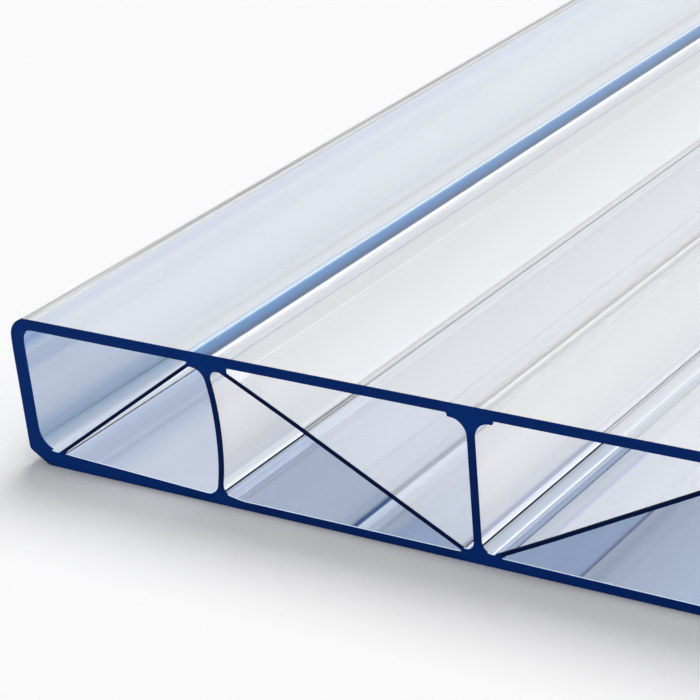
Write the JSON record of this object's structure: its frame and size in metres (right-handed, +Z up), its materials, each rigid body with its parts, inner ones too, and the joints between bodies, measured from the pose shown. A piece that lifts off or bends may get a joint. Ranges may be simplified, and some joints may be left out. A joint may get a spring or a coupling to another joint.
{
  "type": "multiwall polycarbonate sheet",
  "caption": "Clear hollow glazing sheet for roofs and walls: two thin skins joined along their length by upright and slanting webs.",
  "frame": {"origin": "on the underside, at the middle of the sheet's width and length", "axes": "+Y along the flutes and the sheet's length, +X across its width, +Z up through its thickness"},
  "size_m": [0.98, 2, 0.016],
  "materials": {
    "clear_polycarbonate": "clear, smooth and glossy, with navy cut ends"
  },
  "bodies": {
    "root": {"multiwall_sheet": "clear_polycarbonate"}
  },
  "joints": []
}
